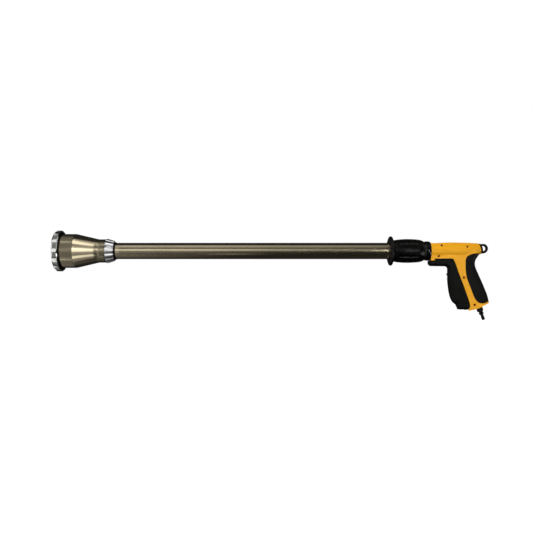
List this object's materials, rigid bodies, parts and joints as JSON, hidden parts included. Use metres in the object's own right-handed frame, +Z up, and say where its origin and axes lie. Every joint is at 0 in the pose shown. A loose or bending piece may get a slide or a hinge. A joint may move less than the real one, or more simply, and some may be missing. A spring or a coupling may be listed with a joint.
{
  "type": "compressed-air leaf blower",
  "caption": "Compressed-air leaf blower: flared nozzle on a long metal tube, ribbed foregrip, and a pistol grip with finger trigger, hanging loop and quick-connect air plug.",
  "frame": {"origin": "centre of the nozzle's mouth, on the tube's axis", "axes": "+X along the tube from the mouth to the gun, +Z up away from the grip, -Y the side the housing screws go in from"},
  "size_m": [1.0571, 0.0999, 0.2194],
  "materials": {
    "polished_aluminium": "polished",
    "bronze_aluminium": "bronze anodised, fine brushed",
    "plain_aluminium": "machined",
    "black_rubber": "matt moulded rubber",
    "seal_rubber": "matt rubber",
    "black_nylon": "satin moulded nylon",
    "black_gloss": "glossy black",
    "yellow_abs": "satin moulded plastic",
    "white_acetal": "moulded",
    "blue_hose": "smooth",
    "steel": "zinc plated",
    "black_steel": "blackened steel, satin",
    "brass": "turned"
  },
  "bodies": {
    "gun": {"nozzle_bell": "bronze_aluminium", "barrel_tube": "bronze_aluminium", "grip_stop_ring": "bronze_aluminium", "nozzle_hub": "plain_aluminium", "barrel_adapter": "plain_aluminium", "air_pipe": "plain_aluminium", "valve_body": "plain_aluminium", "foregrip": "black_rubber", "rear_grip_pad": "black_rubber", "ring_gasket": "seal_rubber", "collar_seal": "seal_rubber", "tube_o_ring": "seal_rubber", "hang_loop": "black_nylon", "housing_near_half": "yellow_abs", "housing_far_half": "yellow_abs", "pipe_spacers": "white_acetal", "jet_spider": "white_acetal", "outlet_hose": "blue_hose", "inlet_hose": "blue_hose", "trigger_pin": "steel", "clip_ring": "steel", "valve_spring": "steel", "air_plug": "black_steel", "housing_screws": "black_steel", "jet_head": "brass", "valve_cap": "brass", "inlet_bushing": "brass", "inlet_filter": "brass"},
    "trigger": {"trigger": "black_nylon"},
    "valve_spool": {"valve_spool": "brass", "spool_seals": "seal_rubber"},
    "front_ring": {"front_ring": "polished_aluminium"},
    "collar_nut": {"collar_nut": "polished_aluminium"},
    "union_nut": {"union_nut": "black_gloss"}
  },
  "joints": [
    {"name": "trigger_pivot", "type": "hinge", "parent": "gun", "child": "trigger", "pos_m": [0.9205, 0, -0.0155], "axis": [0, -1, 0], "range_deg": [0, 3.5], "stiffness_Nm_per_rad": 4, "springref_deg": -3.44},
    {"name": "valve_slide", "type": "slide", "parent": "gun", "child": "valve_spool", "axis": [0.4619, 0, 0.8869], "range_m": [0, 0.0034], "deforming": ["valve_spring"]},
    {"name": "front_ring_turn", "type": "hinge", "parent": "gun", "child": "front_ring", "pos_m": [0.008, 0, 0], "axis": [1, 0, 0], "range_deg": [0, 90]},
    {"name": "collar_nut_turn", "type": "hinge", "parent": "gun", "child": "collar_nut", "pos_m": [0.13, 0, 0], "axis": [1, 0, 0], "range_deg": [0, 90]},
    {"name": "union_nut_turn", "type": "hinge", "parent": "gun", "child": "union_nut", "pos_m": [0.906, 0, 0], "axis": [1, 0, 0], "range_deg": [0, 90]}
  ],
  "couplings": [
    {"joint": "valve_slide", "follows": "trigger_pivot", "m_per_rad": 0.05412}
  ]
}
